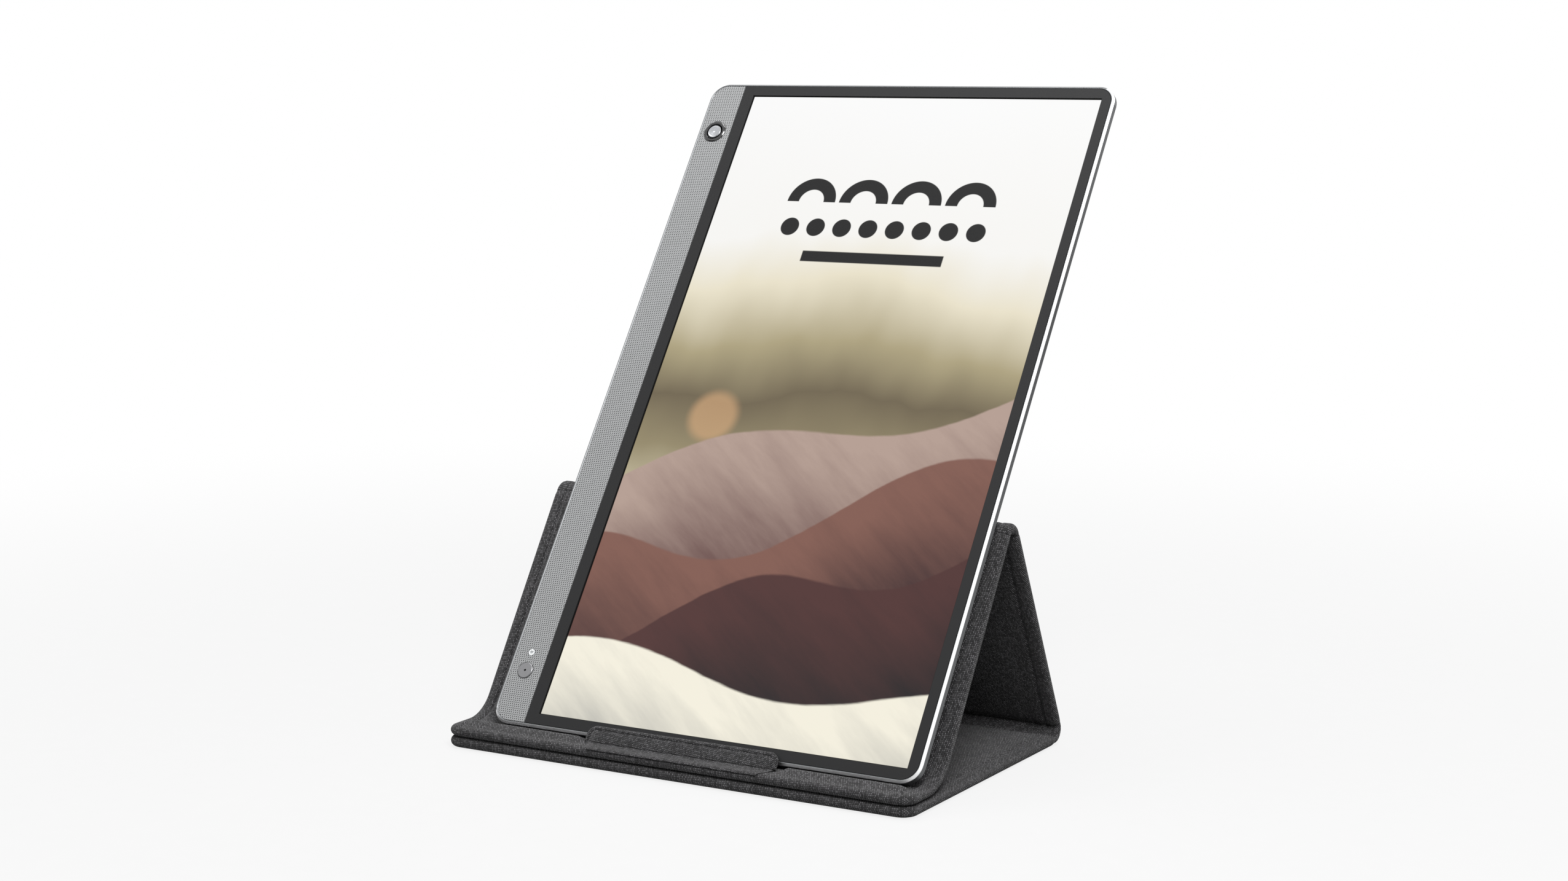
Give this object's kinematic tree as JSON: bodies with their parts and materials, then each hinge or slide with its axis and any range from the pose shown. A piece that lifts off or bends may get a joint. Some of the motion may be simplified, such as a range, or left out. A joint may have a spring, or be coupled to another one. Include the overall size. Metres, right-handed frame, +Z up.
{
  "type": "portable monitor with folding cover stand",
  "caption": "Slim portable monitor with a perforated control strip, stood on end in a padded fabric cover that folds into a three-sided stand with a front lip and tab.",
  "frame": {"origin": "centre of the base panel's underside, on the table", "axes": "+X to the right as seen from in front of the screen, +Y to the back, +Z up"},
  "size_m": [0.2486, 0.2192, 0.3081],
  "materials": {
    "cover_fabric": "matte twill",
    "stiffener": "matte",
    "magnet": "satin",
    "edge_metal": "satin",
    "bezel_black": "satin",
    "strip_metal": "satin",
    "inner_plastic": "matte",
    "screen": "lit image under glass",
    "light_guide": "clear",
    "sheet_steel": "satin",
    "rear_plastic": "fine texture",
    "circuit": "satin",
    "port_metal": "satin",
    "cable_film": "satin",
    "ring_black": "gloss",
    "spun_metal": "spun",
    "button_grey": "spun",
    "plunger_white": "matte",
    "lamp": "translucent"
  },
  "bodies": {
    "base": {"base_panel": "cover_fabric", "base_board": "stiffener", "base_magnets": "magnet", "rear_fold": "cover_fabric"},
    "leg": {"leg_panel": "cover_fabric", "leg_board": "stiffener"},
    "cradle": {"backrest_panel": "cover_fabric", "backrest_board": "stiffener", "lip_bend": "cover_fabric", "lip_panel": "cover_fabric", "lip_board": "stiffener", "lip_magnets": "magnet", "top_fold": "cover_fabric"},
    "tab": {"tab_flap": "cover_fabric", "tab_stiffener": "stiffener"},
    "monitor": {"edge_frame": "edge_metal", "front_bezel": "bezel_black", "speaker_grille": "strip_metal", "mid_frame": "inner_plastic", "lcd_glass": "screen", "light_guide": "light_guide", "panel_tray": "sheet_steel", "rear_cover": "rear_plastic", "main_board": "circuit", "shield_can": "sheet_steel", "board_screws": "sheet_steel", "usb_c_port": "port_metal", "second_usb_c_port": "port_metal", "micro_hdmi_port": "port_metal", "earphone_jack": "inner_plastic", "panel_cable": "cable_film", "upper_speaker": "inner_plastic", "lower_speaker": "inner_plastic", "stick_ring": "ring_black", "stick_switch": "inner_plastic", "stick_board": "circuit", "power_switch": "inner_plastic", "power_board": "circuit", "power_lamp": "lamp"},
    "power_button": {"power_button": "button_grey"},
    "stick_plunger": {"stick_plunger": "plunger_white"},
    "stick_rocker": {"stick_rocker": "sheet_steel"},
    "stick_cap": {"stick_cap": "spun_metal"}
  },
  "joints": [
    {"name": "stand_fold", "type": "hinge", "parent": "base", "child": "leg", "pos_m": [0, 0.07315, 0.0055], "axis": [1, 0, 0], "range_deg": [0, 62], "deforming": ["rear_fold"]},
    {"name": "backrest_fold", "type": "hinge", "parent": "leg", "child": "cradle", "pos_m": [0, 0.02187, 0.11227], "axis": [1, 0, 0], "range_deg": [-117.89, 0], "deforming": ["top_fold"]},
    {"name": "tab_fold", "type": "hinge", "parent": "cradle", "child": "tab", "pos_m": [0.0021, -0.06921, 0.0116], "axis": [1, 0, 0], "range_deg": [0, 110], "stiffness_Nm_per_rad": 0.005},
    {"name": "monitor_lift", "type": "slide", "parent": "cradle", "child": "monitor", "axis": [0, 0.566, 0.8244], "range_m": [0, 0.15]},
    {"name": "power_press", "type": "slide", "parent": "monitor", "child": "power_button", "axis": [0, 0.8244, -0.566], "range_m": [0, 0.0004], "stiffness_N_per_m": 800},
    {"name": "stick_press", "type": "slide", "parent": "monitor", "child": "stick_plunger", "axis": [0, 0.8244, -0.566], "range_m": [0, 0.00035], "stiffness_N_per_m": 800},
    {"name": "stick_tilt_side", "type": "hinge", "parent": "stick_plunger", "child": "stick_rocker", "pos_m": [-0.0956, 0.12267, 0.28244], "axis": [0, 0.566, 0.8244], "range_deg": [-5, 5], "stiffness_Nm_per_rad": 0.02},
    {"name": "stick_tilt_up", "type": "hinge", "parent": "stick_rocker", "child": "stick_cap", "pos_m": [-0.0956, 0.12267, 0.28244], "axis": [1, 0, 0], "range_deg": [-5, 5], "stiffness_Nm_per_rad": 0.02}
  ],
  "couplings": [
    {"joint": "backrest_fold", "follows": "stand_fold", "ratio": -1.8983}
  ]
}
